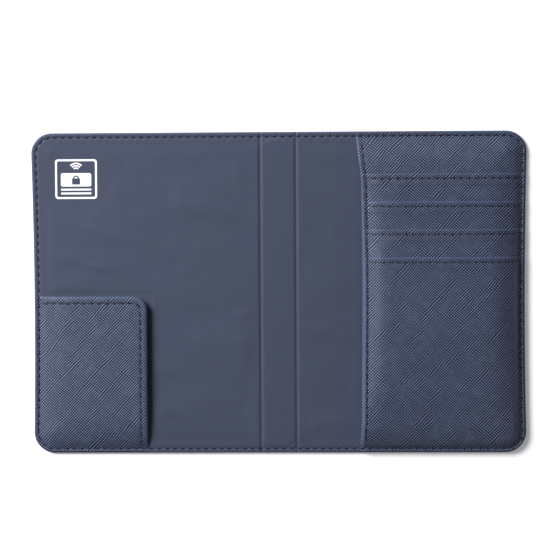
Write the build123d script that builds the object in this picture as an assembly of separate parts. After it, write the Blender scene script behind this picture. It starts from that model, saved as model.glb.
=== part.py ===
"""Fold-over passport holder, lying open and flat on its outer skin.

Millimetres. +X runs from the front panel across the spine to the back panel, +Y to the top edge of the
panels, +Z up from the surface it lies on to its lined inside. The origin is the centre of its footprint.
The front panel (-X) carries the corner pocket, the back panel (+X) the passport pocket with four card slots
on it, and the spine between them folds at two creases.
"""

import math
import os

from build123d import *

# Driving dimensions of the open holder
holder_width = 208.0
holder_height = 135.0
spine_width = 14.0
corner_radius = 9.0
crease_x = spine_width / 2

# Sheet thicknesses
skin = 0.7
board = 0.6
shield = 0.1
lining = 0.2
pocket_skin = 0.6
pocket_lining = 0.15
slot_skin = 0.45
print_film = 0.08

# Turned-in edge of the outer skin, and what lies inside it
turn_in_width = 4.0
turn_in_top = skin + board + shield + 0.05
board_gap = 0.3
lining_inset = 0.8
lining_top = turn_in_top + lining
outer_edge_fillet = 0.6
inner_edge_fillet = 0.35

# A hair of clearance at each crease, where the panels meet the spine
crease_gap = 0.04

# Passport pocket on the back panel: room for a whole closed booklet behind it
pocket_left = 34.7
pocket_inset = 0.7
seam_width = 2.7
pocket_lean = 30.0
passport_gap = 4.5
mouth_seam_width = 3.4
mouth_hem_width = 6.0
mouth_hem = 0.4

# Card slots: each layer covers the last, one slot step lower, and bulges by one card
slot_count = 4
first_slot_top = 49.8
slot_step = 11.6
card_gap = 0.8
slot_depth = 74.0

# Corner pocket on the front panel
corner_pocket_right = -55.4
corner_pocket_top = -1.1
corner_pocket_radius = 6.0
corner_pocket_gap = 1.2

# Stitching
edge_stitch_inset = 1.9
hem_stitch_inset = 2.0
corner_stitch_inset = 2.9
thread_width = 0.55
thread_height = 0.25
thread_clearance = 0.4
groove_width = 1.0
groove_depth = 0.35

# Printed shielding mark on the front lining
mark_size = (17.6, 16.6)
mark_centre = (-84.8, 48.2)
mark_line = 0.8

# Levels worked out from the sheets
pocket_seam_top = lining_top + pocket_lining + pocket_skin
pocket_flat_top = pocket_seam_top + passport_gap
corner_seam_top = lining_top + pocket_lining + pocket_skin
half_width = holder_width / 2
half_height = holder_height / 2
seam_x = half_width - seam_width
seam_y = half_height - seam_width
lean = math.tan(math.radians(pocket_lean))
passport_slope = passport_gap * lean
deep = 5.0
far = holder_width


def slab(x_low, x_high, y_low, y_high, z_low, z_high):
    """Box between two corners."""
    size = (x_high - x_low, y_high - y_low, z_high - z_low)
    centre = ((x_low + x_high) / 2, (y_low + y_high) / 2, (z_low + z_high) / 2)
    return Pos(*centre) * Box(*size)


def outline(inset, z_low, z_high):
    """Prism of the holder's rounded outline, drawn in by inset."""
    face = RectangleRounded(
        holder_width - 2 * inset, holder_height - 2 * inset, corner_radius - inset
    )
    return Pos(0, 0, z_low) * extrude(face, z_high - z_low)


def along_y(points):
    """Prism of an outline in X and Z, running the length of Y."""
    wire = Polyline(*[(x, -far, z) for x, z in points], close=True)
    return extrude(make_face(wire), 2 * far, dir=(0, 1, 0))


def along_x(points):
    """Prism of an outline in Y and Z, running the length of X."""
    wire = Polyline(*[(-far, y, z) for y, z in points], close=True)
    return extrude(make_face(wire), 2 * far, dir=(1, 0, 0))


def lowered(shape, drop):
    return Pos(0, 0, -drop) * shape


def rounded_outer_edges(body, z, radius):
    """Rounds the long outer edge of a skin at height z, leaving the crease ends sharp."""
    picked = [
        e
        for e in body.edges()
        if abs(e.center().Z - z) < 1e-3
        and e.length > 3
        and on_outer_edge(e)
    ]
    return fillet(picked, radius)


def on_outer_edge(edge):
    """True for an edge that follows the holder's outline."""
    middle = edge @ 0.5
    across_x = half_width - corner_radius
    across_y = half_height - corner_radius
    dx = max(abs(middle.X) - across_x, 0)
    dy = max(abs(middle.Y) - across_y, 0)
    if dx and dy:
        return abs(math.hypot(dx, dy) - corner_radius) < 1e-3
    return abs(max(dx, dy) - corner_radius) < 1e-3


def export(shape, name):
    export_step(shape, f"parts/{name}.step")


# The three bodies' spans along X, with a hair of clearance at each crease
front_span = (-half_width - 1, -crease_x - crease_gap)
spine_span = (-crease_x + crease_gap, crease_x - crease_gap)
back_span = (crease_x + crease_gap, half_width + 1)


def cut_to(shape, span):
    return shape & slab(span[0], span[1], -far, far, -deep, 2 * deep)


def stitch_band(inset, width, z_low, z_high):
    """Ring that follows the outline, centred on a stitch line."""
    outer = outline(inset - width / 2, z_low, z_high)
    return outer - outline(inset + width / 2, z_low - 1, z_high + 1)


def skin_panel(span):
    """Outer skin with its edge turned in on itself, and a groove the outside stitches sink into."""
    body = outline(0, 0, turn_in_top) - outline(turn_in_width, skin, turn_in_top + 1)
    body -= stitch_band(edge_stitch_inset, groove_width, -1, groove_depth)
    body = rounded_outer_edges(cut_to(body, span), 0, outer_edge_fillet)
    return rounded_outer_edges(body, turn_in_top, inner_edge_fillet)


def inner_sheet(span, inset, z_low, thickness, crease_inset=0.0):
    """Flat sheet inside a panel, kept crease_inset clear of the crease."""
    low, high = span
    low = low + crease_inset if low > -half_width else low
    high = high - crease_inset if high < half_width else high
    return cut_to(outline(inset, z_low, z_low + thickness), (low, high))


# --- outer skin, stiffeners, shielding and lining ---------------------------------------------------

board_inset = turn_in_width + board_gap
board_crease_inset = 1.5


def build_shell(name, span):
    export(skin_panel(span), f"{name}_cover")
    export(inner_sheet(span, lining_inset, turn_in_top, lining), f"{name}_lining")


def build_stiffening(name, span):
    export(
        inner_sheet(span, board_inset, skin, board, board_crease_inset),
        f"{name}_board",
    )
    export(
        inner_sheet(span, board_inset, skin + board, shield, board_crease_inset),
        f"{name}_shield",
    )


def build_spine_interlining():
    """Soft filler that keeps the spine as thick as the panels."""
    export(
        inner_sheet(spine_span, board_inset, skin, board + shield, 0.5),
        "spine_interlining",
    )


# --- passport pocket --------------------------------------------------------------------------------


def mound(seam_top, flat_top):
    """Everything below a surface that leans in from the edge seam and is flat at flat_top."""
    inset = seam_width - (seam_top + deep) * lean
    foot = RectangleRounded(
        holder_width - 2 * inset, holder_height - 2 * inset, corner_radius - inset
    )
    return Pos(0, 0, -deep) * extrude(foot, flat_top + deep, taper=pocket_lean)


def pocket_height(seam_top, flat_top):
    """Everything below a pocket's surface: low along the edge seam, raised and flat inside."""
    seam = slab(-far, far, -far, far, -deep, seam_top)
    return mound(seam_top, flat_top) + seam


def pocket_sheet(seam_top, flat_top, thickness, left):
    body = pocket_height(seam_top, flat_top)
    sheet = body - lowered(body, thickness)
    footprint = outline(pocket_inset, -deep, 3 * deep)
    return sheet & footprint & slab(left, far, -far, far, -deep, 3 * deep)


def build_passport_pocket():
    panel = pocket_sheet(pocket_seam_top, pocket_flat_top, pocket_skin, pocket_left)
    hem_top = pocket_flat_top - pocket_skin
    hem_reach = seam_y - passport_slope - 0.5
    hem = slab(
        pocket_left,
        pocket_left + mouth_hem_width,
        -hem_reach,
        hem_reach,
        hem_top - mouth_hem,
        hem_top,
    )
    export(panel + hem, "passport_pocket_panel")
    backing = pocket_sheet(
        pocket_seam_top - pocket_skin,
        pocket_flat_top - pocket_skin,
        pocket_lining,
        pocket_left + mouth_hem_width + 0.1,
    )
    export(backing, "passport_pocket_lining")


# --- card slots -------------------------------------------------------------------------------------


def slot_top(number):
    return first_slot_top - (number - 1) * slot_step


def slot_bottom(number):
    """Where a slot's cross seam stops the card. The front pocket runs down to the edge seam."""
    if number == slot_count:
        return -seam_y + passport_slope
    return slot_top(number) - slot_depth


def slot_name(number):
    return "card_pocket_front" if number == slot_count else f"card_slot_{number}"


def slot_thickness(number):
    return pocket_skin if number == slot_count else slot_skin


def slot_seam_top(number):
    return pocket_seam_top + sum(slot_thickness(n) for n in range(1, number + 1))


def layer_flat_top(number):
    """Top of a layer beside the card bulge, where the pocket-mouth seam runs."""
    return slot_seam_top(number) + passport_gap


def slot_height(number):
    """Everything below a slot layer's surface, with one rise for each card behind it."""
    seam_top = slot_seam_top(number)
    flat_top = layer_flat_top(number)
    rise = number * card_gap
    left_seam = pocket_left + mouth_seam_width
    from_left = [
        (left_seam - flat_top - deep, -deep),
        (left_seam + rise, flat_top + rise),
        (far, flat_top + rise),
        (far, -deep),
    ]
    stairs = [(slot_bottom(number) - flat_top - deep, -deep)]
    for step in range(1, number + 1):
        foot = slot_bottom(number + 1 - step)
        if step > 1:
            stairs.append((foot, flat_top + (step - 1) * card_gap))
        stairs.append((foot + card_gap, flat_top + step * card_gap))
    stairs += [(far, flat_top + rise), (far, -deep)]
    bulge = mound(seam_top, flat_top + rise) & along_y(from_left) & along_x(stairs)
    return pocket_height(seam_top, flat_top) + bulge


def build_card_slots():
    for number in range(1, slot_count + 1):
        body = slot_height(number)
        sheet = body - lowered(body, slot_thickness(number))
        footprint = outline(pocket_inset, -deep, 3 * deep)
        reach = slab(pocket_left, far, -far, slot_top(number), -deep, 3 * deep)
        export(sheet & footprint & reach, slot_name(number))


# --- corner pocket ----------------------------------------------------------------------------------


def corner_footprint(inset, z_low, z_high):
    """The corner pocket's plan, with its free corner rounded, drawn in by inset on its open sides."""
    right = corner_pocket_right - inset
    top = corner_pocket_top - inset
    span = 2 * half_width
    plan = Pos(right - span / 2, top - span / 2) * RectangleRounded(
        span, span, corner_pocket_radius - min(inset, corner_pocket_radius - 0.5)
    )
    prism = Pos(0, 0, z_low) * extrude(plan, z_high - z_low)
    return prism & outline(pocket_inset, z_low - 1, z_high + 1)


def build_corner_pocket():
    flat_top = corner_seam_top + corner_pocket_gap
    body = pocket_height(corner_seam_top, flat_top)
    panel = (body - lowered(body, pocket_skin)) & corner_footprint(0, -deep, 2 * deep)
    hem_top = flat_top - pocket_skin
    hem = corner_footprint(0, hem_top - mouth_hem, hem_top)
    hem -= corner_footprint(mouth_hem_width, -deep, deep)
    hem &= slab(
        -seam_x + corner_pocket_gap + 0.5,
        far,
        -seam_y + corner_pocket_gap + 0.5,
        far,
        -deep,
        deep,
    )
    export(panel + hem, "corner_pocket")
    low_body = lowered(body, pocket_skin)
    backing = (low_body - lowered(low_body, pocket_lining)) & corner_footprint(
        mouth_hem_width + 0.1, -deep, 2 * deep
    )
    export(backing, "corner_pocket_lining")


# --- stitching --------------------------------------------------------------------------------------


def edge_thread(span, surface):
    """Inside run of the edge seam where it lies on a surface at one level."""
    ring = stitch_band(edge_stitch_inset, thread_width, surface, surface + thread_height)
    return cut_to(ring, span)


def build_outside_threads():
    for name, span in panel_spans.items():
        ring = stitch_band(
            edge_stitch_inset, thread_width, groove_depth - thread_height, groove_depth
        )
        export(cut_to(ring, span), f"{name}_edge_thread_outside")


def build_inside_threads():
    export(edge_thread(spine_span, lining_top), "spine_edge_thread_inside")
    front = edge_thread(front_span, lining_top)
    pocket_area = slab(-far, corner_pocket_right, -far, corner_pocket_top, -1, deep)
    on_pocket = edge_thread(front_span, corner_seam_top) & pocket_area
    export_group([front - pocket_area, on_pocket], "front_edge_thread_inside")
    back = edge_thread((back_span[0], pocket_left), lining_top)
    runs = [back]
    tops = [half_height] + [slot_top(n) for n in range(1, slot_count + 1)]
    for layer, top in enumerate(tops):
        surface = slot_seam_top(layer)
        bottom = tops[layer + 1] if layer < slot_count else -half_height
        area = slab(pocket_left, far, bottom, top, -1, 3 * deep)
        runs.append(edge_thread(back_span, surface) & area)
    export_group(runs, "back_edge_thread_inside")


def export_group(shapes, name):
    solids = [s for shape in shapes for s in shape.solids()]
    export(Compound(children=solids), name)


def bar(x_low, x_high, y_low, y_high, surface):
    """Straight run of thread lying on a surface."""
    return slab(x_low, x_high, y_low, y_high, surface, surface + thread_height)


def build_hem_threads():
    half = thread_width / 2
    left_seam = pocket_left + mouth_seam_width
    x = pocket_left + hem_stitch_inset
    tops = [seam_y - passport_slope] + [slot_top(n) for n in range(1, slot_count + 1)]
    runs = []
    for layer, top in enumerate(tops):
        bottom = tops[layer + 1] if layer < slot_count else -seam_y + passport_slope
        runs.append(bar(x - half, x + half, bottom, top, layer_flat_top(layer)))
    export_group(runs, "pocket_mouth_thread")
    for number in range(1, slot_count + 1):
        surface = layer_flat_top(number) + number * card_gap
        y = slot_top(number) - hem_stitch_inset
        left = left_seam + number * card_gap + thread_clearance
        right = seam_x - passport_slope - number * card_gap * lean - thread_clearance
        run = bar(left, right, y - half, y + half, surface)
        export(run, f"{slot_name(number)}_thread")
    seams = []
    for number in range(1, slot_count):
        y = slot_bottom(number) - 1.0
        surface = layer_flat_top(number)
        right = seam_x - passport_slope - thread_clearance
        seams.append(
            bar(left_seam + thread_clearance, right, y - half, y + half, surface)
        )
    export_group(seams, "slot_bottom_threads")


def build_corner_pocket_thread():
    surface = corner_seam_top + corner_pocket_gap
    half = thread_width / 2
    outer = corner_footprint(corner_stitch_inset - half, surface, surface + thread_height)
    inner = corner_footprint(corner_stitch_inset + half, surface - 1, surface + 1)
    keep = slab(
        -seam_x + corner_pocket_gap,
        far,
        -seam_y + corner_pocket_gap,
        far,
        -deep,
        2 * deep,
    )
    export((outer - inner) & keep, "corner_pocket_thread")


# --- printed mark -----------------------------------------------------------------------------------


def build_mark():
    """Generic shielding symbol: frame, radio waves over a card with a padlock, and two rule lines."""
    width, height = mark_size
    frame = RectangleRounded(width, height, 1.2)
    frame -= RectangleRounded(width - 2 * mark_line, height - 2 * mark_line, 0.7)
    pieces = [frame]
    wave_foot = (0, 3.3)
    fan = make_face(Polyline((0, 0), (-6, 6), (6, 6), close=True))
    for radius in (1.3, 2.3, 3.3):
        arc = Circle(radius + 0.3) - Circle(radius - 0.3)
        pieces.append(Pos(*wave_foot) * (arc & fan))
    card = Pos(0, -0.3) * RectangleRounded(12.8, 5.6, 0.8)
    lock = Pos(0, -1.0) * RectangleRounded(3.4, 2.6, 0.4)
    shackle = Pos(0, 0.3) * (Circle(1.25) - Circle(0.65))
    shackle &= Pos(0, 1.3) * Rectangle(4, 2)
    pieces.append(card - lock - shackle)
    for y in (-4.4, -6.0):
        pieces.append(Pos(0, y) * RectangleRounded(12.8, 0.8, 0.3))
    solids = [
        Pos(*mark_centre, lining_top) * solid
        for piece in pieces
        for solid in extrude(piece, print_film).solids()
    ]
    export(Compound(children=solids), "shield_mark")


panel_spans = {"front": front_span, "spine": spine_span, "back": back_span}


def main():
    os.makedirs("parts", exist_ok=True)
    for name, span in panel_spans.items():
        build_shell(name, span)
    for name in ("front", "back"):
        build_stiffening(name, panel_spans[name])
    build_spine_interlining()
    build_passport_pocket()
    build_card_slots()
    build_corner_pocket()
    build_outside_threads()
    build_inside_threads()
    build_hem_threads()
    build_corner_pocket_thread()
    build_mark()


main()
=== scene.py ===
import bpy
import math
import numpy as np
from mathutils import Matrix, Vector


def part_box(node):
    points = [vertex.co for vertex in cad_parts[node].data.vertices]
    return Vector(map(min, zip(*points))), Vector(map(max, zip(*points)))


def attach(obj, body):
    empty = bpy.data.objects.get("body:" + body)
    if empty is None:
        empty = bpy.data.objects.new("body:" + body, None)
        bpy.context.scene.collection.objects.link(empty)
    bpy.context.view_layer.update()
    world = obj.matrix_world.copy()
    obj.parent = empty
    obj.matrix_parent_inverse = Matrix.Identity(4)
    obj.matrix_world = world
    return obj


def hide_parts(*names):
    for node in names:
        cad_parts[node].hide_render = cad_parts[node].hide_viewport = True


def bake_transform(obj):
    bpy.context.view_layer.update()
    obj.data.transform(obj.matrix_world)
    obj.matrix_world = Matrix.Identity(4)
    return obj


# Passport holder, open on a table. Shapes are worked out in millimetres,
# and turned into metres as each mesh is made.

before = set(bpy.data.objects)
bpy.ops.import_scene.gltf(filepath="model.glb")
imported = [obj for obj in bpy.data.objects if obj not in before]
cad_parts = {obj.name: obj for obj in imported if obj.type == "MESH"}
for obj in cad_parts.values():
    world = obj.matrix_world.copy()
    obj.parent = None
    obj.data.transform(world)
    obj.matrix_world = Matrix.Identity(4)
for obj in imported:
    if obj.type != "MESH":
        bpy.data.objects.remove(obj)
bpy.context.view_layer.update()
mm = 0.001


def boxOf(node):
    low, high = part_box(node)
    return np.array(low) / mm, np.array(high) / mm


coverLow = boxOf("front_cover")[0]
backHigh = boxOf("back_cover")[1]
spineHigh = boxOf("spine_cover")[1]
liningHigh = boxOf("back_lining")[1]
mouthLow, pocketHigh = boxOf("passport_pocket_panel")
cornerLow, cornerHigh = boxOf("corner_pocket")
markLow, markHigh = boxOf("shield_mark")
slotNodes = ["card_slot_1", "card_slot_2", "card_slot_3", "card_pocket_front"]

holder = {
    "halfWidth": backHigh[0],
    "halfHeight": backHigh[1],
    "corner": 9.0,
    "crease": spineHigh[0] + 0.04,
    "creaseReach": 2.3,      # how far each side of a crease the skin would bend; bendStart and bendEnd are worked out from it
    "waist": 0.0089,         # how far the short sides bow in, as a share of the width
    "liningTop": liningHigh[2],
    "seamInset": 1.9,
    "stitchPitch": 3.3,
}
fabric = {
    "lining": 0.2,
    "pocketLining": 0.15,
    "pocketPanel": 0.6,
    "slot": 0.45,
    "skived": 0.4,           # share of its thickness that a layer keeps in the edge seam
    "skiveFrom": 2.4,
    "skiveOver": 3.0,
}
meshStep = {"skin": 0.85, "pocket": 0.8, "pocketBack": 1.6}
cutRound = 0.34              # radius of a layer's edge in the edge seam
print("frame loaded:", len(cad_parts), "nodes")


# shapes shared by every layer

def ease(t):
    t = np.clip(t, 0, 1)
    return t * t * (3 - 2 * t)


def bell(distance, width):
    return np.exp(-((distance / width) ** 2))


def swellUp(distance, reach):
    # rises at once and then levels off, as cloth does over something thick
    t = np.maximum(distance / reach, 0)
    return t / (1 + t ** 4) ** 0.25


def roundOver(distance, radius):
    # a quarter circle from 0 at an edge to 1 from one radius in
    t = np.clip(distance / radius, 0, 1)
    return np.sqrt(1 - (1 - t) ** 2)


def rimOf(distance, radius):
    return 1 - roundOver(distance, radius)


def softNoise(x, y, cellX, cellY, seed):
    # smooth swells about one cell across, the same on every run
    lattice = np.random.default_rng(seed).uniform(-1, 1, (64, 64))
    u, v = x / cellX + 32, y / cellY + 32
    i, j = np.floor(u).astype(int), np.floor(v).astype(int)
    f, g = ease(u - i), ease(v - j)
    i, j = i % 63, j % 63
    low = lattice[i, j] * (1 - f) + lattice[i + 1, j] * f
    high = lattice[i, j + 1] * (1 - f) + lattice[i + 1, j + 1] * f
    return low * (1 - g) + high * g


def turnCorner(x, y, cx, cy, radius):
    # a square corner of the grid becomes a quarter disc, so lines near the edge run parallel to it
    sx, sy = np.sign(cx), np.sign(cy)
    a, b = sx * (x - cx) / radius, sy * (y - cy) / radius
    inside = (a > 0) & (b > 0)
    a, b = np.where(inside, a, 0.5), np.where(inside, b, 0.5)
    turn = np.where(a >= b, b / a, 2 - a / b) * math.pi / 4
    reach = radius * np.maximum(a, b)
    return (
        np.where(inside, cx + sx * reach * np.cos(turn), x),
        np.where(inside, cy + sy * reach * np.sin(turn), y),
    )


cornerX = holder["halfWidth"] - holder["corner"]
cornerY = holder["halfHeight"] - holder["corner"]


def fitOutline(x, y):
    for sx in (-1, 1):
        for sy in (-1, 1):
            x, y = turnCorner(x, y, sx * cornerX, sy * cornerY, holder["corner"])
    return x, y


def edgeGap(x, y):
    # distance in from the holder's edge
    dx, dy = np.abs(x) - cornerX, np.abs(y) - cornerY
    beyond = np.hypot(np.maximum(dx, 0), np.maximum(dy, 0))
    return holder["corner"] - beyond - np.minimum(np.maximum(dx, dy), 0)


seamRadius = holder["corner"] - holder["seamInset"]
seamLength = cornerX + seamRadius * math.pi / 2 + cornerY
seamStitches = round(seamLength / holder["stitchPitch"])
seamPitch = seamLength / seamStitches


def seamRun(x, y):
    # how far along a quarter of the edge seam the nearest point of it lies
    x, y = np.abs(x), np.abs(y)
    dx, dy = x - cornerX, y - cornerY
    turn = np.arctan2(np.maximum(dx, 0), np.maximum(dy, 1e-6))
    corner = cornerX + seamRadius * turn
    side = cornerX + seamRadius * math.pi / 2 + cornerY - y
    return np.where((dx > 0) & (dy > 0), corner, np.where(dx > dy, side, x))


def stitchDip(distance, run, pitch, depth, width):
    # the thread pulls the cloth down, most of all at its holes
    even, atHoles = 0.72, 0.28
    return depth * bell(distance, width) * (even + atHoles * np.cos(2 * math.pi * run / pitch))


def stitchShade(distance, run, pitch):
    # painted shade: dark where the needle went through, paler under the thread
    even, atHoles = 0.45, 0.55
    return bell(distance, 0.42) * (even + atHoles * np.cos(math.pi * run / pitch) ** 8)


def edgeSeamShade(x, y):
    return stitchShade(edgeGap(x, y) - holder["seamInset"], seamRun(x, y), seamPitch)


def gridLines(low, high, step, lowSteps=(), highSteps=(), extra=()):
    even = np.linspace(low, high, max(2, round((high - low) / step) + 1))
    more = [low + s for s in lowSteps] + [high - s for s in highSteps] + list(extra)
    lines = np.sort(np.concatenate([even, [m for m in more if low < m < high]]))
    keep = [lines[0]]
    for line in lines[1:]:
        if line - keep[-1] > 0.02:
            keep.append(line)
    keep[-1] = high
    return np.array(keep)


# grid lines crowd together where a sheet curves: at its rim, at a seam and at a crease
rimSteps = (0.03, 0.09, 0.18, 0.3, 0.45, 0.65)
seamSteps = rimSteps + (0.83, 0.9, 1.0, 1.2, 1.45, 1.7, 1.95, 2.2, 2.5, 2.9, 3.4)
lipSteps = (3.95, 4.1, 4.25, 4.6)
creaseSteps = tuple(
    side * (holder["crease"] + offset) for side in (-1, 1) for offset in np.arange(-2.6, 2.7, 0.4)
)


def settle(x, y):
    # a used holder's short sides bow in a little
    pull = 1 - (y / holder["halfHeight"]) ** 2
    return x * (1 - holder["waist"] * pull * np.abs(x) / holder["halfWidth"]), y


def makeMesh(name, points, faces, rest, marks=None):
    mesh = bpy.data.meshes.new(name)
    mesh.from_pydata((points * mm).tolist(), [], faces)
    mesh.polygons.foreach_set("use_smooth", np.ones(len(mesh.polygons), bool))
    mesh.set_sharp_from_angle(angle=math.radians(50))
    mesh.attributes.new("restPlace", "FLOAT_VECTOR", "POINT").data.foreach_set("vector", rest.ravel())
    for mark, values in (marks or {}).items():
        mesh.attributes.new(mark, "FLOAT", "POINT").data.foreach_set("value", values.ravel())
    piece = bpy.data.objects.new(name, mesh)
    bpy.context.scene.collection.objects.link(piece)
    return piece


def makeSheet(name, x, y, top, under, drawn=settle, **marks):
    # a closed sheet of cloth or skin: one face above, one below and a rim between them
    rows, columns = x.shape
    sx, sy = drawn(x, y)
    count = rows * columns
    points = np.concatenate([np.stack([sx, sy, z], -1).reshape(-1, 3) for z in (top, under)])
    rest = np.concatenate([np.stack([x, y, z], -1).reshape(-1, 3) for z in (top, under)])
    index = np.arange(count).reshape(rows, columns)
    quads = np.stack([index[:-1, :-1], index[:-1, 1:], index[1:, 1:], index[1:, :-1]], -1)
    quads = quads.reshape(-1, 4)
    around = np.concatenate([index[0, :-1], index[:-1, -1], index[-1, :0:-1], index[:0:-1, 0]])
    onward = np.roll(around, -1)
    rim = np.stack([around + count, onward + count, onward, around], -1)
    faces = np.concatenate([quads, quads[:, ::-1] + count, rim]).tolist()
    marks = {mark: np.concatenate([values.ravel()] * 2) for mark, values in marks.items()}
    return makeMesh(name, points, faces, rest, marks)


# how high each layer lies

creases = {"at": 7.5, "depth": 0.3, "width": 0.55, "hold": 0.6, "holdWidth": 0.8}
liningLook = {
    "inset": 0.8,
    "swell": 0.15,           # long soft waves
    "ripple": 0.055,         # short ones
    "crease": 0.26,          # faint folds left by handling
    "creaseStep": 9.5,       # half of the way from one to the next
    "loft": 0.2,             # how far the cloth stands off the boards between its seams
    "loftFrom": 4.6,
    "loftOver": 5.0,
    "spineEarlier": 2.6,     # over the spine it stands off sooner, clear of the felt
    "spineQuicker": 3.4,
    "pucker": 0.06,          # small gathers along the edge seam
    "puckerAt": 3.3,
    "markClear": 12.2,       # it lies flat this far round the middle of the mark
}
passportPocket = {
    "lift": 3.6,
    "seamEdge": 2.3,         # the panel starts to rise this far in
    "shoulder": 10.0,
    "mouthSag": 0.5,
    "fall": 1.6,             # how much lower the booklet's far side lies
    "mouthStitch": 2.1,
    "mouthRoll": 0.9,
    "hem": 0.4,
    "hemWidth": 6.0,
    "stitchDepth": 0.24,
    "swell": 0.16,           # soft unevenness over the booklet
    "ripple": 0.05,
    "flareTop": {"out": 1.9, "start": 44.0, "over": 22.0},     # the mouth runs out towards the spine
    "flareBottom": {"out": 0.5, "start": 52.0, "over": 12.0},
    "pullIn": {"back": 0.55, "over": 38.0},                    # and is drawn back half-way down
    "topRoll": 0.45,
    "topFold": 0.14,         # how far a turned top edge stands up
    "topFoldWidth": 4.4,
}
cardSlots = {
    "lift": 0.66,            # one card
    "leftRise": 2.8,
    "leftWidth": 5.0,
    "rightEdge": 2.6,
    "rightWidth": 8.5,
    "depth": 74.0,
    "frontDepth": 67.0,
    "stitchDepth": 0.09,
    "seamShade": 0.7,
    "stepIn": 0.25,          # how much further in each layer starts at the mouth
}
cornerPocket = {
    "lift": 1.1,
    "standOff": 1.5,         # how much higher the free side stands
    "seamEdge": 2.3,
    "shoulder": 9.0,
    "radius": 6.0,
    "stitch": 2.9,
    "stitchDepth": 0.18,
    "bendShare": 0.7,        # of a stitch's pitch that shows where the seam turns
    "hem": 0.55,
    "hemWidth": 5.2,
    "backInset": 5.4,
    "roll": 1.5,
    "crown": 0.35,
    "swell": 0.1,
}

slotTops = [boxOf(node)[1][1] for node in slotNodes]
slotSkins = [fabric["slot"]] * 3 + [fabric["pocketPanel"]]
threadBoxes = [boxOf(node + "_thread") for node in slotNodes]
stitchRows = [(low[1] + high[1]) / 2 for low, high in threadBoxes]
mouthX = mouthLow[0]
panelInset = holder["halfWidth"] - pocketHigh[0]
cornerRight, cornerTop = cornerHigh[0], cornerHigh[1]


def seamDip(x, y, depth=0.26, width=0.62):
    return stitchDip(edgeGap(x, y) - holder["seamInset"], seamRun(x, y), seamPitch, depth, width)


def creaseDip(x):
    return creases["depth"] * bell(np.abs(x) - creases["at"], creases["width"])


def besideMark(x, y):
    # 0 where the mark is printed, so that the cloth lies flat under it
    midX, midY = (markLow[0] + markHigh[0]) / 2, (markLow[1] + markHigh[1]) / 2
    return ease((np.hypot(x - midX, y - midY) - liningLook["markClear"]) / 6)


def softWrinkles(x, y):
    # long faint folds where the cloth has been handled
    across = (y + 0.35 * x + 7 * softNoise(x, y, 26, 18, 61)) / liningLook["creaseStep"]
    folds = (0.5 + 0.5 * np.sin(across * math.pi)) ** 3
    return folds * ease(0.3 + softNoise(x, y, 30, 20, 67) * 2.2)


def liningWaves(x, y):
    # clear of the pocket, the edge seam, the creases and the corner pocket
    clear = ease((mouthX - 1 - x) / 8) * ease((edgeGap(x, y) - 4.5) / 10) * ease((np.abs(x) - 9.5) / 6)
    beside = ease(np.maximum(x - cornerRight - 1, y - cornerTop - 1) / 6)
    long = softNoise(x + 0.45 * y, y - 0.3 * x, 21, 13, 4) + 0.5 * softNoise(x, y, 34, 9, 8)
    short = softNoise(x - 0.7 * y, y + 0.5 * x, 6.5, 4.0, 15)
    waves = liningLook["swell"] * long + liningLook["ripple"] * short
    return clear * beside * (waves + liningLook["crease"] * softWrinkles(x, y))


def liningHeight(x, y):
    look = liningLook
    gap = edgeGap(x, y)
    z = holder["liningTop"] - seamDip(x, y) - creaseDip(x)
    gathers = np.cos(2 * math.pi * seamRun(x, y) / seamPitch)
    pucker = look["pucker"] * bell(gap - look["puckerAt"], 0.8) * gathers
    atSpine = bell(x, 9.0)
    rise = (gap - look["loftFrom"] + look["spineEarlier"] * atSpine) / (
        look["loftOver"] - look["spineQuicker"] * atSpine
    )
    held = creases["hold"] * bell(np.abs(x) - creases["at"], creases["holdWidth"])
    loft = look["loft"] * ease(rise) * (1 - held)
    # pressed down by the pockets that lie on it
    pressed = ease((mouthX + 6 - x) / 8) * np.where((x < cornerRight + 2) & (y < cornerTop + 2), 0.3, 1.0)
    return z + pucker + (loft * pressed + liningWaves(x, y)) * besideMark(x, y)


def mouthFlare(y):
    top, bottom, pull = (passportPocket[key] for key in ("flareTop", "flareBottom", "pullIn"))
    flare = top["out"] * ease((y - top["start"]) / top["over"])
    flare = flare + bottom["out"] * ease((-y - bottom["start"]) / bottom["over"])
    return flare - pull["back"] * bell(y, pull["over"])


def pocketBase(x, y):
    # what lies under the pocket panel once a booklet has stretched it
    p = passportPocket
    rise = swellUp(edgeGap(x, y) - p["seamEdge"], p["shoulder"])
    far = np.clip((x - mouthX - 6) / (cornerX - mouthX), 0, 1)
    lift = p["lift"] - p["mouthSag"] * bell(x - mouthX, 6.0) - p["fall"] * far
    z = holder["liningTop"] + lift * rise - seamDip(x, y)
    run = (y - cornerY) % holder["stitchPitch"]
    stitchX = mouthX + p["mouthStitch"]
    z = z - stitchDip(x - stitchX, run, holder["stitchPitch"], p["stitchDepth"], 0.65) * rise
    swell = p["swell"] * softNoise(x, y, 17, 22, 21) + p["ripple"] * softNoise(x, y, 5, 7, 23)
    return z + swell * rise * ease((x - mouthX - 3) / 6)


def mouthSeamShade(x, y):
    across = x - mouthX - passportPocket["mouthStitch"]
    return stitchShade(across, y - cornerY, holder["stitchPitch"])


def slotLift(number, x, y):
    # each card lets its slot's cloth stand a card's thickness higher
    c = cardSlots
    side = swellUp(x - mouthX - c["leftRise"], c["leftWidth"])
    edge = swellUp(edgeGap(x, y) - c["rightEdge"], c["rightWidth"])
    foot = slotTops[number] - c["depth" if number < 3 else "frontDepth"]
    return c["lift"] * side * edge * ease((y - foot + 3) / 13)


def skived(x, y):
    # the skins are pared thinner where they go into the edge seam
    full = ease((edgeGap(x, y) - fabric["skiveFrom"]) / fabric["skiveOver"])
    return fabric["skived"] + (1 - fabric["skived"]) * full


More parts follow.
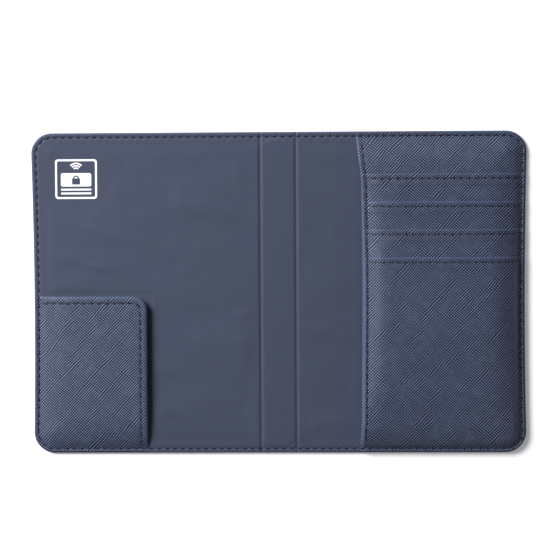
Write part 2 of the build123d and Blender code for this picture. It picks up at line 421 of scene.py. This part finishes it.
def pocketTop(layer, x, y):
    # layer 0 is the passport pocket's panel, 1 to 4 the card layers on it
    thin = skived(x, y)
    z = pocketBase(x, y) + (fabric["pocketLining"] + fabric["pocketPanel"]) * thin
    for number in range(layer):
        z = z + slotSkins[number] * thin + slotLift(number, x, y)
    if layer:
        away, depth = y - stitchRows[layer - 1], cardSlots["stitchDepth"]
        z = z - stitchDip(away, x - mouthX, holder["stitchPitch"], depth, 0.5)
    return z


def cornerPocketTop(x, y):
    c = cornerPocket
    rise = swellUp(edgeGap(x, y) - c["seamEdge"], c["shoulder"])
    z = holder["liningTop"] + (fabric["pocketLining"] + fabric["pocketPanel"]) * skived(x, y)
    lift = c["lift"] + c["standOff"] * (x - coverLow[0]) / (cornerRight - coverLow[0])
    z = z + lift * rise - seamDip(x, y)
    inset, run = cornerFree(x, y)
    z = z - stitchDip(inset - c["stitch"], run, holder["stitchPitch"], c["stitchDepth"], 0.55) * rise
    midX, midY = (coverLow[0] + cornerRight) / 2, (coverLow[1] + cornerTop) / 2
    crown = c["crown"] * bell(x - midX, 20) * bell(y - midY, 26)
    return z + rise * (crown + c["swell"] * softNoise(x, y, 14, 16, 31))


def cornerFree(x, y):
    # distance in from the corner pocket's two free edges, and how far along them
    radius = cornerPocket["radius"]
    cx, cy = cornerRight - radius, cornerTop - radius
    dx, dy = x - cx, y - cy
    beyond = np.hypot(np.maximum(dx, 0), np.maximum(dy, 0))
    inset = radius - beyond - np.minimum(np.maximum(dx, dy), 0)
    turn = np.arctan2(np.maximum(dx, 0), np.maximum(dy, 1e-6))
    seamBend = radius - cornerPocket["stitch"]
    down = seamBend * math.pi / 2 - dy
    run = np.where((dx > 0) & (dy > 0), seamBend * turn, np.where(dx > dy, down, dx))
    return inset, run


def visibleTop(x, y):
    # the surface that the inside stitches of the edge seam lie on
    top = liningHeight(x, y)
    top = np.where((x < cornerRight) & (y < cornerTop), cornerPocketTop(x, y), top)
    for layer in range(5):
        below = y < (slotTops[layer - 1] if layer else np.inf)
        top = np.where((x > mouthX - mouthFlare(y)) & below, pocketTop(layer, x, y), top)
    return top


# outer skin and lining

skinLook = {
    "rimHeight": 0.78,       # of the edge's furthest line above the table
    "underRound": 0.75,
    "topRound": 0.6,
    "groove": 0.34,          # the edge seam's groove in the outside
    "grooveWidth": 0.7,
    "plate": 0.7,            # thickness over the boards
    "lipWidth": 4.03,        # the turned-in edge ends here
    "lipLine": 0.06,         # and shows as a faint line on the outside
    "threadLow": 0.3,        # outside stitches stay this high above the table
}


def skinUnder(x, y):
    gap = edgeGap(x, y)
    z = skinLook["rimHeight"] * (1 - roundOver(gap, skinLook["underRound"]))
    z = z + seamDip(x, y, skinLook["groove"], skinLook["grooveWidth"])
    lipLine = skinLook["lipLine"] * bell(gap - 4.6, 0.9)
    return z + creaseDip(x) * ease(gap / 3) + lipLine


def skinInside(x, y):
    gap = edgeGap(x, y)
    lip = liningHeight(x, y) - fabric["lining"] - 0.02
    lip = skinLook["rimHeight"] + (lip - skinLook["rimHeight"]) * roundOver(gap, skinLook["topRound"])
    return np.where(gap < skinLook["lipWidth"], lip, skinLook["plate"] + creaseDip(x))


def skinOutside(x, y):
    # what the outside stitches lie on
    return np.maximum(skinUnder(x, y), skinLook["threadLow"]) + 0.02


def halfGrid(side, inset, step, steps):
    reach, height = holder["halfWidth"] - inset, holder["halfHeight"] - inset
    steps = tuple(s - inset for s in steps if s > inset) + rimSteps
    low, high = (-reach, 0) if side < 0 else (0, reach)
    xs = gridLines(low, high, step, steps if side < 0 else (), steps if side > 0 else (), creaseSteps)
    ys = gridLines(-height, height, step, steps, steps)
    return fitOutline(*np.meshgrid(xs, ys))


skins, linings, halves = {}, {}, {}
for side, name, body in ((-1, "left", "front"), (1, "right", "back")):
    x, y = halfGrid(side, 0, meshStep["skin"], seamSteps + lipSteps)
    # the edge mark lightens the rim: partly wear, partly a painted highlight on the rounded edge
    skins[side] = makeSheet(
        f"outer_skin_{name}", x, y, skinInside(x, y), skinUnder(x, y),
        edgeWear=bell(edgeGap(x, y), 0.5), seamShade=edgeSeamShade(x, y),
    )
    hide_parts(f"{body}_cover", "spine_cover")

    x, y = halfGrid(side, liningLook["inset"], meshStep["skin"], seamSteps + lipSteps)
    rim = rimOf(edgeGap(x, y) - liningLook["inset"], 0.22)
    top = liningHeight(x, y)
    linings[side] = makeSheet(
        f"lining_{name}", x, y, top - 0.09 * rim, top - fabric["lining"] + 0.09 * rim,
        seamShade=edgeSeamShade(x, y),
    )
    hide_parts(f"{body}_lining", "spine_lining")
print("outer skin and lining made")


# stitching

thread = {
    "share": 0.74,           # of a pitch that shows as thread
    "radius": 0.27,
    "rise": 0.13,
    "sink": 0.34,
    "twist": 4.2,            # of the ply, radians for each millimetre
    "ply": 0.13,             # how deep the twist shows
    "thinEnds": 0.3,
    "height": 0.85,          # of the thread's section, as a share of its width
    "tilt": 0.035,           # how unevenly the stitches lie
    "shift": 0.04,
    "lengths": (0.94, 1.04),
    "sides": 8,
    "rings": 9,
}


def sewLine(name, spots, surface, up=1, seed=1, drawn=settle):
    # spots holds one row for each stitch: x, y, heading, length
    spots = np.array(spots, float)
    rng = np.random.default_rng(seed)
    count, rings, sides = len(spots), thread["rings"], thread["sides"]
    along = np.linspace(-1, 1, rings)
    turn = np.arange(sides) * 2 * math.pi / sides
    heading = spots[:, 2] + rng.normal(0, thread["tilt"], count)
    length = spots[:, 3] * rng.uniform(*thread["lengths"], count)
    shift = rng.normal(0, thread["shift"], count)
    cx = spots[:, 0] - shift * np.sin(spots[:, 2])
    cy = spots[:, 1] + shift * np.cos(spots[:, 2])
    s = along[None, :] * length[:, None] / 2
    px = cx[:, None] + s * np.cos(heading)[:, None]
    py = cy[:, None] + s * np.sin(heading)[:, None]
    lift = thread["rise"] - thread["sink"] * along[None, :] ** 4
    pz = surface(px, py) + up * lift
    radius = thread["radius"] * (1 - thread["thinEnds"] * along[None, :, None] ** 2)
    ply = 1 + thread["ply"] * np.cos(2 * turn[None, None, :] - thread["twist"] * s[:, :, None])
    radius = radius * ply
    across = radius * np.cos(turn)[None, None, :]
    height = thread["height"] * radius * np.sin(turn)[None, None, :]
    x = px[:, :, None] - across * np.sin(heading)[:, None, None]
    y = py[:, :, None] + across * np.cos(heading)[:, None, None]
    z = pz[:, :, None] + height
    sx, sy = drawn(x, y)
    points = np.stack([sx, sy, z], -1).reshape(-1, 3)
    rest = np.stack([x, y, z], -1).reshape(-1, 3)
    base = np.arange(count * rings * sides).reshape(count, rings, sides)
    right = np.roll(base, -1, axis=2)
    quads = np.stack([base[:, :-1], right[:, :-1], right[:, 1:], base[:, 1:]], -1).reshape(-1, 4)
    caps = base[:, 0, ::-1].tolist() + base[:, -1, :].tolist()
    return makeMesh(name, points, quads.tolist() + caps, rest)


def seamSpots(sx, sy, inset):
    # stitches of one quarter of the edge seam, mirrored into place
    spots = []
    radius = holder["corner"] - inset
    for number in range(seamStitches):
        run = (number + 0.5) * seamPitch
        turn = (run - cornerX) / seamRadius
        if run < cornerX:
            x, y, heading = run, holder["halfHeight"] - inset, 0
        elif turn < math.pi / 2:
            x, y, heading = cornerX + radius * math.sin(turn), cornerY + radius * math.cos(turn), -turn
        else:
            x, y = holder["halfWidth"] - inset, cornerY - (run - cornerX - seamRadius * math.pi / 2)
            heading = -math.pi / 2
        spots.append((sx * x, sy * y, sx * sy * heading, seamPitch * thread["share"]))
    return spots


def rowSpots(x0, y0, x1, y1):
    # stitches of a straight row
    length = math.hypot(x1 - x0, y1 - y0)
    count = max(1, round(length / holder["stitchPitch"]))
    heading = math.atan2(y1 - y0, x1 - x0)
    stitch = length / count * thread["share"]
    middles = [(n + 0.5) / count for n in range(count)]
    return [(x0 + (x1 - x0) * t, y0 + (y1 - y0) * t, heading, stitch) for t in middles]


edgeSeams = []
for side, name, body in ((-1, "left", "front"), (1, "right", "back")):
    spots = seamSpots(side, 1, holder["seamInset"]) + seamSpots(side, -1, holder["seamInset"])
    inside = sewLine(f"edge_seam_inside_{name}", spots, visibleTop, 1, 11 + side)
    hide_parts(f"{body}_edge_thread_inside", "spine_edge_thread_inside")
    outside = sewLine(f"edge_seam_outside_{name}", spots, skinOutside, -0.35, 21 + side)
    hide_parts(f"{body}_edge_thread_outside", "spine_edge_thread_outside")
    halves[side] = [skins[side], linings[side], inside, outside]
    edgeSeams += [inside, outside]
print("edge seam sewn")


# passport pocket and card slots

def panelGrid(low, top, step, coarseBelow=None):
    reach, bottom = holder["halfWidth"] - panelInset, -holder["halfHeight"] + panelInset
    steps = tuple(s - panelInset for s in seamSteps if s > panelInset) + rimSteps
    mouthSteps = rimSteps + (0.9, 1.3, 1.7, 2.0, 2.3, 2.6, 3.0, 3.5)
    xs = gridLines(low, reach, step, mouthSteps, steps)
    atEdge = top > cornerY
    hemSteps = rimSteps + (0.9, 1.2, 1.5, 1.8, 2.1, 2.4, 2.8, 3.3, 4.2, 5.0)
    ys = gridLines(bottom, top, step, steps, steps if atEdge else hemSteps)
    if coarseBelow is not None:  # what the next layer covers needs fewer lines
        fine = ys > coarseBelow
        edge = ys < bottom + 5
        sparse = np.arange(len(ys)) % 3 == 0
        ys = ys[fine | edge | sparse]
    return fitOutline(*np.meshgrid(xs, ys))


def flared(x, y):
    return settle(x - mouthFlare(y) * bell(x - mouthX, 14), y)


def makePanel(name, layer, low, top, grid, thickness, hemmed):
    x, y = grid
    height = pocketTop(layer, x, y)
    hemmedTop = top < cornerY
    p = passportPocket
    rim = np.maximum(rimOf(edgeGap(x, y) - panelInset, cutRound), rimOf(x - low, p["mouthRoll"]))
    rim = np.maximum(rim, rimOf(top - y, p["topRoll"]) if hemmedTop else 0)
    hem = p["hem"] * (1 - ease((x - low - p["hemWidth"]) / 1.2)) if hemmed else 0
    fold = p["topFold"] * (1 - ease(top - y - p["topFoldWidth"])) * (1 - rim) if hemmedTop else 0
    thick = (thickness + hem) * skived(x, y)
    # lighter mouth edge and turned top edge: partly wear, partly a painted highlight
    wearAndHighlight = np.maximum(bell(x - low, 0.3), bell(top - y, 0.4) if hemmedTop else 0)
    shade = np.maximum(edgeSeamShade(x, y), mouthSeamShade(x, y))
    if hemmedTop:
        hemSeamShade = stitchShade(y - stitchRows[layer - 1], x - mouthX, holder["stitchPitch"])
        shade = np.maximum(shade, cardSlots["seamShade"] * hemSeamShade)
    return makeSheet(
        name, x, y, height + fold - thick * 0.5 * rim, height - thick + thick * 0.45 * rim,
        drawn=flared, edgeWear=wearAndHighlight, seamShade=shade, cutEdge=bell(edgeGap(x, y) - panelInset, 0.15),
    )


pocketPieces = []
panelTop = holder["halfHeight"] - panelInset
grid = panelGrid(mouthX, panelTop, meshStep["pocket"])
panel = makePanel("passport_pocket", 0, mouthX, panelTop, grid, fabric["pocketPanel"], True)
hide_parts("passport_pocket_panel")
pocketPieces.append(panel)

low = mouthX + passportPocket["hemWidth"] + 0.1
x, y = panelGrid(low, panelTop, meshStep["pocketBack"])
top = pocketTop(0, x, y) - fabric["pocketPanel"] * skived(x, y) - 0.01
pocketBack = makeSheet(
    "passport_pocket_back", x, y, top, top - fabric["pocketLining"] * skived(x, y), drawn=flared
)
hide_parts("passport_pocket_lining")

for number, node in enumerate(slotNodes):
    low = mouthX + cardSlots["stepIn"] * (number + 1)
    covered = slotTops[number + 1] - 6 if number < 3 else None
    grid = panelGrid(low, slotTops[number], meshStep["pocket"], covered)
    strip = makePanel(f"{node}_skin", number + 1, low, slotTops[number], grid, slotSkins[number], False)
    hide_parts(node)
    pocketPieces.append(strip)

slotSeams = []
for number, node in enumerate(slotNodes):
    y = stitchRows[number]
    spots = rowSpots(mouthX + 3.6, y, holder["halfWidth"] - 3.2, y)
    row = sewLine(
        f"{node}_seam", spots, lambda px, py, n=number: pocketTop(n + 1, px, py) + 0.1, 1, 31 + number, flared
    )
    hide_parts(f"{node}_thread")
    slotSeams.append(row)

footRows = [top - cardSlots["depth"] - 1 for top in slotTops[:3]]


def footSurface(x, y):
    # each foot seam lies on its own strip
    z = np.zeros_like(x)
    for number, row in enumerate(footRows):
        z = np.where(np.abs(y - row) < 2, pocketTop(number + 1, x, y), z)
    return z - 0.12


spots = [spot for y in footRows for spot in rowSpots(mouthX + 5, y, holder["halfWidth"] - 6, y)]
footSeam = sewLine("slot_foot_seams", spots, footSurface, 1, 41, flared)
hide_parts("slot_bottom_threads")
slotSeams.append(footSeam)

mouthEnd, stitchX = cornerY + 4, mouthX + passportPocket["mouthStitch"]
spots = rowSpots(stitchX, mouthEnd, stitchX, -mouthEnd)
mouthSeam = sewLine("pocket_mouth_seam", spots, visibleTop, 1, 43, flared)
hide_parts("pocket_mouth_thread")
slotSeams.append(mouthSeam)
print("passport pocket and card slots made")


# corner pocket

def cornerGrid(step, inset=0.0):
    left, bottom = coverLow[0] + panelInset, coverLow[1] + panelInset
    steps = tuple(s - panelInset for s in seamSteps if s > panelInset) + rimSteps
    hemSteps = rimSteps + (0.9, 1.2, 1.6, 2.0, 2.3, 2.6, 2.9, 3.3, 3.9)
    xs = gridLines(left, cornerRight - inset, step, steps, hemSteps)
    ys = gridLines(bottom, cornerTop - inset, step, steps, hemSteps)
    x, y = fitOutline(*np.meshgrid(xs, ys))
    radius = cornerPocket["radius"] - inset
    # the free corner is turned about its own centre
    cx, cy = cornerRight - inset - radius, cornerTop - inset - radius
    u, v = turnCorner(x - cx + 1, y - cy + 1, 1, 1, radius)
    return u + cx - 1, v + cy - 1


x, y = cornerGrid(meshStep["pocket"])
free, run = cornerFree(x, y)
rim = np.maximum(rimOf(edgeGap(x, y) - panelInset, cutRound), rimOf(free, cornerPocket["roll"]))
hem = cornerPocket["hem"] * (1 - ease(free - cornerPocket["hemWidth"])) * ease((edgeGap(x, y) - 3) / 2)
thick = fabric["pocketPanel"] * skived(x, y) + hem
hemSeamShade = stitchShade(free - cornerPocket["stitch"], run, holder["stitchPitch"])
top = cornerPocketTop(x, y)
# lighter free edges: partly wear, partly a painted highlight
cornerPanel = makeSheet(
    "corner_pocket_skin", x, y, top - 0.55 * thick * rim, top - thick + 0.4 * thick * rim,
    edgeWear=bell(free, 0.35), cutEdge=bell(edgeGap(x, y) - panelInset, 0.15),
    seamShade=np.maximum(edgeSeamShade(x, y), hemSeamShade),
)
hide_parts("corner_pocket")

x, y = cornerGrid(meshStep["pocketBack"], cornerPocket["backInset"])
top = cornerPocketTop(x, y) - fabric["pocketPanel"] * skived(x, y) - 0.01
cornerBack = makeSheet("corner_pocket_back", x, y, top, top - fabric["pocketLining"] * skived(x, y))
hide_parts("corner_pocket_lining")

stitch, radius = cornerPocket["stitch"], cornerPocket["radius"]
cx, cy = cornerRight - radius, cornerTop - radius
left = coverLow[0] + 3.2
spots = rowSpots(left, cornerTop - stitch, cx, cornerTop - stitch)
seamBend = radius - stitch
bendLength = seamBend * math.pi / 2
turns = max(1, round(bendLength / holder["stitchPitch"]))
for n in range(turns):
    turn = (n + 0.5) / turns * math.pi / 2
    x, y = cx + seamBend * math.sin(turn), cy + seamBend * math.cos(turn)
    spots.append((x, y, -turn, bendLength / turns * cornerPocket["bendShare"]))
spots += rowSpots(cornerRight - stitch, cy, cornerRight - stitch, coverLow[1] + 3.2)
cornerSeam = sewLine("corner_pocket_seam", spots, cornerPocketTop, 1, 51)
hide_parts("corner_pocket_thread")
print("corner pocket made")


# materials

class Wire:
    # a socket that ordinary sums can be written with
    def __init__(self, recipe, socket):
        self.recipe, self.socket = recipe, socket

    def maths(self, operation, first, second=0.0):
        return self.recipe.add("ShaderNodeMath", {"operation": operation}, {0: first, 1: second})

    def __add__(self, other):
        return self.maths("ADD", self, other)

    def __sub__(self, other):
        return self.maths("SUBTRACT", self, other)

    def __rsub__(self, other):
        return self.maths("SUBTRACT", other, self)

    def __mul__(self, other):
        return self.maths("MULTIPLY", self, other)

    def __pow__(self, other):
        return self.maths("POWER", self, other)

    __radd__ = __add__
    __rmul__ = __mul__

    def sine(self):
        return self.maths("SINE", self)

    def between(self, low, high):
        # smooth step from 0 at low to 1 at high
        settings = {"interpolation_type": "SMOOTHSTEP"}
        return self.recipe.add("ShaderNodeMapRange", settings, {0: self, 1: low, 2: high, 3: 0.0, 4: 1.0})


class Recipe:
    def __init__(self, name, **constants):
        self.material = bpy.data.materials.new(name)
        self.material.use_nodes = True
        self.tree = self.material.node_tree
        self.tree.nodes.clear()
        constants = {key.replace("_", " "): value for key, value in constants.items()}
        shader = self.add("ShaderNodeBsdfPrincipled", inputs=constants)
        self.add("ShaderNodeOutputMaterial", inputs={0: shader}, output=None)
        self.shader = shader.socket.node.inputs

    def put(self, socket, value):
        if isinstance(value, Wire):
            self.tree.links.new(value.socket, socket)
        else:
            socket.default_value = value

    def add(self, kind, settings=None, inputs=None, output=0):
        node = self.tree.nodes.new(kind)
        for key, value in (settings or {}).items():
            setattr(node, key, value)
        for key, value in (inputs or {}).items():
            self.put(node.inputs[key], value)
        return None if output is None else Wire(self, node.outputs[output])

    def attribute(self, name, output):
        return self.add("ShaderNodeAttribute", {"attribute_name": name}, output=output)

    def split(self, vector):
        parts = self.add("ShaderNodeSeparateXYZ", inputs={0: vector}).socket.node.outputs
        return [Wire(self, part) for part in parts]

    def join(self, x, y, z=0.0):
        return self.add("ShaderNodeCombineXYZ", inputs={0: x, 1: y, 2: z})

    def noise(self, vector, scale, detail=2.0, roughness=0.5):
        inputs = {"Vector": vector, "Scale": scale, "Detail": detail, "Roughness": roughness}
        return self.add("ShaderNodeTexNoise", inputs=inputs)

    def mixColour(self, factor, first, second):
        return self.add("ShaderNodeMix", {"data_type": "RGBA"}, {0: factor, 6: first, 7: second}, output=2)

    def finish(self, colour, roughness, height=None, distance=0.0):
        self.put(self.shader["Base Color"], colour)
        self.put(self.shader["Roughness"], roughness)
        if height is not None:
            inputs = {"Strength": 1.0, "Distance": distance, "Height": height}
            self.put(self.shader["Normal"], self.add("ShaderNodeBump", inputs=inputs))
        return self.material


def sRgb(red, green, blue):
    linear = [((c / 255 + 0.055) / 1.055) ** 2.4 if c > 10 else c / 255 / 12.92 for c in (red, green, blue)]
    return (*linear, 1.0)


# skin pressed with two families of fine crossing lines; its pale ridges carry a painted highlight and its
# dark grooves painted shade
grainLook = {
    # groove holds painted shade, ridge a painted highlight
    "groove": sRgb(1, 8, 44),
    "ridgeGlint": sRgb(122, 137, 165),
    # paler edge colour: wear and a painted highlight
    "wornAndLit": sRgb(70, 84, 116),
    "edgePaint": sRgb(22, 29, 54),
    "pitch": 0.88,           # millimetres from line to line
    "crossPitch": 0.97,      # of the other family, as a share of the first
    "lean": 46.5,            # degrees of the long lines above +X
    "crossLean": -39.0,
    "fineness": 3.2,         # higher makes the painted highlights on the ridges narrower
    "rough": 0.8,            # in the grooves
    "ridgeGloss": 0.46,      # how much smoother the ridges are
    "seamShading": 0.75,            # how dark the painted shade in the seams lies
    "bump": 0.000085,
}


def crossGrain(name, look):
    r = Recipe(name, Specular_IOR_Level=0.46)
    place = r.attribute("restPlace", "Vector")
    x, y = r.split(place)[:2]

    def family(lean, shift, pitch, drift):
        # pressed lines at one lean that run on and drift a little, from -1 in a groove to 1 on a ridge
        angle = math.radians(lean)
        along = x * math.cos(angle) + y * math.sin(angle)
        across = y * math.cos(angle) - x * math.sin(angle) + shift
        wander = r.noise(r.join(along * 0.05, across * 0.16, shift), 1.0, 1.0)
        wave = ((across + wander * drift) * (2 * math.pi / pitch)).sine()
        strokes = r.noise(r.join(along * 0.16, across * 0.45, shift), 1.0, 2.0)
        return wave, strokes

    longWave, longStrokes = family(look["lean"], 0.0, look["pitch"], 2.2)
    crossWave, crossStrokes = family(look["crossLean"], 7.3, look["pitch"] * look["crossPitch"], 1.6)
    share = (longStrokes - crossStrokes + 0.5).between(0.3, 0.7)
    height = (longWave * (0.5 + 0.4 * share) + crossWave * (0.66 - 0.4 * share)) * 0.43 + 0.5
    wearAndHighlight, seam, cutEdge = (r.attribute(mark, "Fac") for mark in ("edgeWear", "seamShade", "cutEdge"))
    cloudy = r.noise(place, 0.05, 3.0)
    # the grain's colour: a painted highlight on the ridges and painted shade in the grooves
    colour = r.mixColour(height.between(0.18, 1.0) ** look["fineness"], look["groove"], look["ridgeGlint"])
    # edges turn lighter: partly wear, partly a painted highlight; the grain also flattens there
    wornAndLit = r.mixColour(wearAndHighlight * (0.45 + 0.4 * cloudy), colour, look["wornAndLit"])
    # painted shade along the seams and in the needle holes
    seamShading = r.mixColour(seam * look["seamShading"], wornAndLit, look["groove"])
    painted = r.mixColour(cutEdge, seamShading, look["edgePaint"])
    roughness = look["rough"] - look["ridgeGloss"] * height + 0.05 * cloudy
    return r.finish(painted, roughness, height * (1 - 0.7 * wearAndHighlight) * (1 - cutEdge), look["bump"])


liningCloth = {
    "warp": sRgb(67, 74, 94),
    "weft": sRgb(50, 57, 76),
    "cloud": sRgb(53, 59, 77),
    "pitch": 0.34,
    "bump": 0.00003,
}


def taffeta(name, look):
    r = Recipe(name, Sheen_Weight=0.2, Sheen_Roughness=0.4, Specular_IOR_Level=0.25)
    place = r.attribute("restPlace", "Vector")
    x, y = r.split(place)[:2]
    warp = (x * (2 * math.pi / look["pitch"])).sine()
    weft = (y * (2 * math.pi / look["pitch"])).sine()
    weave = warp * weft * 0.5 + 0.5
    slubAcross = r.noise(r.join(x * 0.05, y * 2.2, 3.1), 1.0, 3.0)
    slubUp = r.noise(r.join(x * 2.2, y * 0.05, 9.4), 1.0, 3.0)
    slubs = (slubAcross + slubUp) * 0.5
    cloudy = r.noise(place, 0.03, 3.0)
    tone = weave * 0.45 + slubs * 0.75 - 0.1
    colour = r.mixColour(tone, look["weft"], look["warp"])
    colour = r.mixColour(cloudy * 0.35, colour, look["cloud"])
    return r.finish(colour, 0.66 - 0.1 * weave, weave * 0.7 + slubs, look["bump"])


def yarn(name, colour, pale):
    r = Recipe(name, Sheen_Weight=0.08, Specular_IOR_Level=0.35)
    place = r.attribute("restPlace", "Vector")
    fibre = r.noise(place, 3.5, 3.0)
    return r.finish(r.mixColour(fibre, colour, pale), 0.5 + 0.15 * fibre, fibre, 0.00003)


def objectPlace(r):
    place = r.add("ShaderNodeTexCoord", output="Object")
    return r.add("ShaderNodeVectorMath", {"operation": "SCALE"}, {0: place, "Scale": 1000.0})


def printInk(name):
    r = Recipe(name, Specular_IOR_Level=0.4)
    place = objectPlace(r)
    x, y = r.split(place)[:2]
    step = 2 * math.pi / liningCloth["pitch"]
    weave = (x * step).sine() * (y * step).sine() * 0.5 + 0.5
    patchy = r.noise(place, 1.4, 3.0)
    colour = r.mixColour(patchy * 0.4 + weave * 0.12, sRgb(250, 251, 255), sRgb(205, 211, 228))
    return r.finish(colour, 0.5 + 0.1 * patchy, weave, 0.00002)


def fibreSheet(name, dark, pale, grain, roughness, metallic=0.0):
    # board, felt or foil cloth: specks and short fibres, all sealed inside
    r = Recipe(name, Metallic=metallic)
    place = objectPlace(r)
    x, y, z = r.split(place)
    fibres = r.noise(r.join(x * 0.4, y * 1.6, z), grain, 4.0, 0.65)
    specks = r.noise(place, grain * 2.5, 2.0).between(0.58, 0.7)
    colour = r.mixColour(fibres + specks * 0.2, dark, pale)
    return r.finish(colour, roughness + 0.1 * fibres, fibres, 0.00005)


skinMaterial = crossGrain("navy_cross_grain", grainLook)
liningMaterial = taffeta("navy_taffeta", liningCloth)
threadMaterial = yarn("navy_thread", sRgb(3, 5, 18), sRgb(15, 20, 40))
inkMaterial = printInk("white_ink")
boardMaterial = fibreSheet("grey_board", sRgb(120, 112, 100), sRgb(170, 162, 148), 1.0, 0.85)
feltMaterial = fibreSheet("white_felt", sRgb(190, 190, 184), sRgb(226, 226, 220), 1.6, 0.9)
foilMaterial = fibreSheet("metallised_cloth", sRgb(150, 152, 156), sRgb(200, 202, 206), 3.0, 0.4, 0.8)


def dress(pieces, material):
    for piece in pieces:
        piece.data.materials.clear()
        piece.data.materials.append(material)


dress([skins[-1], skins[1], cornerPanel] + pocketPieces, skinMaterial)
dress([linings[-1], linings[1], pocketBack, cornerBack], liningMaterial)
dress(edgeSeams + slotSeams + [cornerSeam], threadMaterial)
for names, material in (
    (["shield_mark"], inkMaterial),
    (["front_board", "back_board"], boardMaterial),
    (["front_shield", "back_shield"], foilMaterial),
    (["spine_interlining"], feltMaterial),
):
    for name in names:
        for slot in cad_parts[name].material_slots:
            slot.material = material
print("materials made")


# what moves with what

bendStart = (holder["crease"] - holder["creaseReach"]) * mm
bendEnd = (holder["crease"] + holder["creaseReach"]) * mm
for piece in halves[-1]:
    -bendEnd
    -bendStart
    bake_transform(piece)
for piece in halves[1]:
    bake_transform(piece)
for piece in pocketPieces + [pocketBack] + slotSeams:
    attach(piece, "back_panel")
for piece in (cornerPanel, cornerBack, cornerSeam):
    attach(piece, "front_panel")


# what was cut from flat cloth

def sheetSize(width, height):
    return width * mm, height * mm


# each lining is as large as what it lies on, less its inset or hem
inset = liningLook["inset"]
halfSize = sheetSize(holder["halfWidth"] - inset, 2 * (holder["halfHeight"] - inset))
pocketSize = sheetSize(pocketHigh[0] - mouthX - passportPocket["hemWidth"], 2 * panelTop)
cornerHem = cornerPocket["backInset"]
cornerSize = sheetSize(cornerRight - cornerLow[0] - cornerHem, cornerTop - cornerLow[1] - cornerHem)


# floor, light and camera

studio = {
    "floor": sRgb(247, 248, 250),
    "floorGlow": 0.16,
    "floorReach": 2.5,
    "floorHeight": -0.0002,
    "keyPlace": (-0.78, 0.56, 0.72),
    "keySize": 0.72,
    "keyPower": 27.5,
    "sky": (0.97, 0.98, 1.0, 1.0),
    "skyStrength": 0.2,
    "distance": 0.80,
    "turn": (-3.07, 1.74, -0.313),  # degrees off straight down
    "lens": 122.9,
    "aim": (0.00069, 0.00558, 0.004),
}


def makeFloor():
    mesh = bpy.data.meshes.new("table")
    reach, z = studio["floorReach"], studio["floorHeight"]
    corners = [(-reach, -reach, z), (reach, -reach, z), (reach, reach, z), (-reach, reach, z)]
    mesh.from_pydata(corners, [], [(0, 1, 2, 3)])
    floor = bpy.data.objects.new("table", mesh)
    bpy.context.scene.collection.objects.link(floor)
    white, glow = (1.0, 1.0, 1.0, 1.0), studio["floorGlow"]
    r = Recipe("pale_table", Specular_IOR_Level=0.1, Emission_Color=white, Emission_Strength=glow)
    mesh.materials.append(r.finish(studio["floor"], 0.9))


def makeKeyLamp():
    light = bpy.data.lights.new("key", "AREA")
    light.shape, light.size, light.energy = "DISK", studio["keySize"], studio["keyPower"]
    lamp = bpy.data.objects.new("key", light)
    bpy.context.scene.collection.objects.link(lamp)
    lamp.location = studio["keyPlace"]
    lamp.rotation_euler = (-lamp.location).to_track_quat("-Z", "Y").to_euler()


def makeSky():
    world = bpy.data.worlds.new("studio")
    world.use_nodes = True
    background = world.node_tree.nodes["Background"]
    background.inputs[0].default_value = studio["sky"]
    background.inputs[1].default_value = studio["skyStrength"]
    bpy.context.scene.world = world
    bpy.context.scene.view_settings.view_transform = "Standard"


def makeCamera():
    lens = bpy.data.cameras.new("camera")
    lens.lens = studio["lens"]
    lens.sensor_width = 36
    camera = bpy.data.objects.new("camera", lens)
    bpy.context.scene.collection.objects.link(camera)
    camera.rotation_euler = [math.radians(angle) for angle in studio["turn"]]
    away = camera.rotation_euler.to_matrix() @ Vector((0, 0, studio["distance"]))
    camera.location = Vector(studio["aim"]) + away
    bpy.context.scene.camera = camera


makeFloor()
makeKeyLamp()
makeSky()
makeCamera()
print("studio ready")
